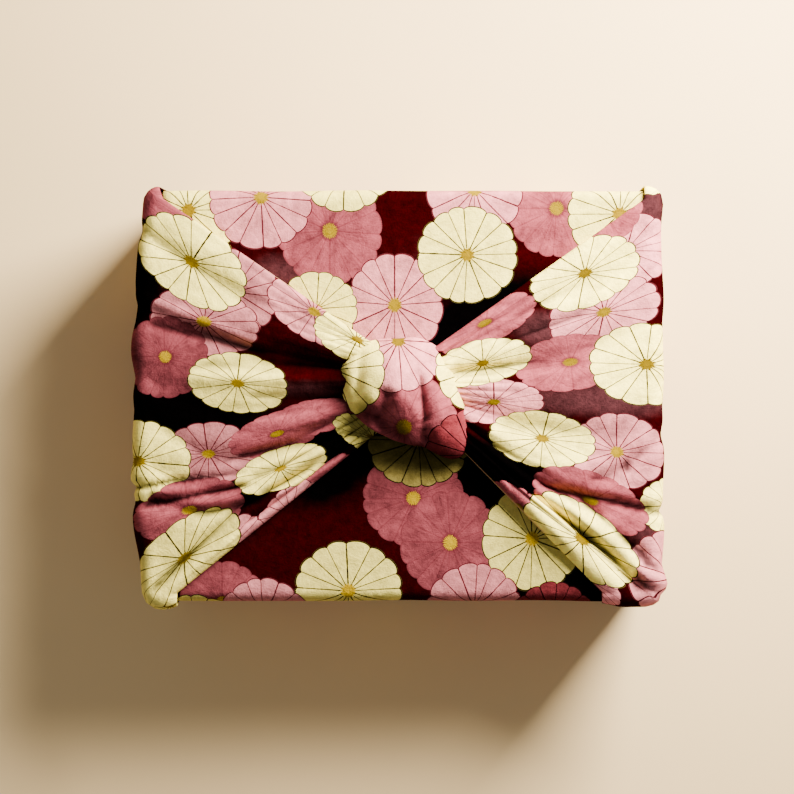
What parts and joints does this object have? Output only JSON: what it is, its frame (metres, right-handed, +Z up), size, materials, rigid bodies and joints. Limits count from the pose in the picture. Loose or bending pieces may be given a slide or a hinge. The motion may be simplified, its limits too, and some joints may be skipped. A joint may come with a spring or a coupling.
{
  "type": "fabric gift wrap",
  "caption": "Square cloth wrapped round a box-shaped space, with gathered sides drawn over the top into a knot.",
  "frame": {"origin": "middle of the flat underside's outline, on the surface that the wrap rests on", "axes": "+X to the right along the long side, +Y to the back, +Z up through the knot"},
  "size_m": [0.2877, 0.2277, 0.1202],
  "materials": {
    "printed_cloth": "matt printed crepe with large round flowers"
  },
  "bodies": {
    "root": {"wrap_cloth": "printed_cloth"}
  },
  "joints": []
}
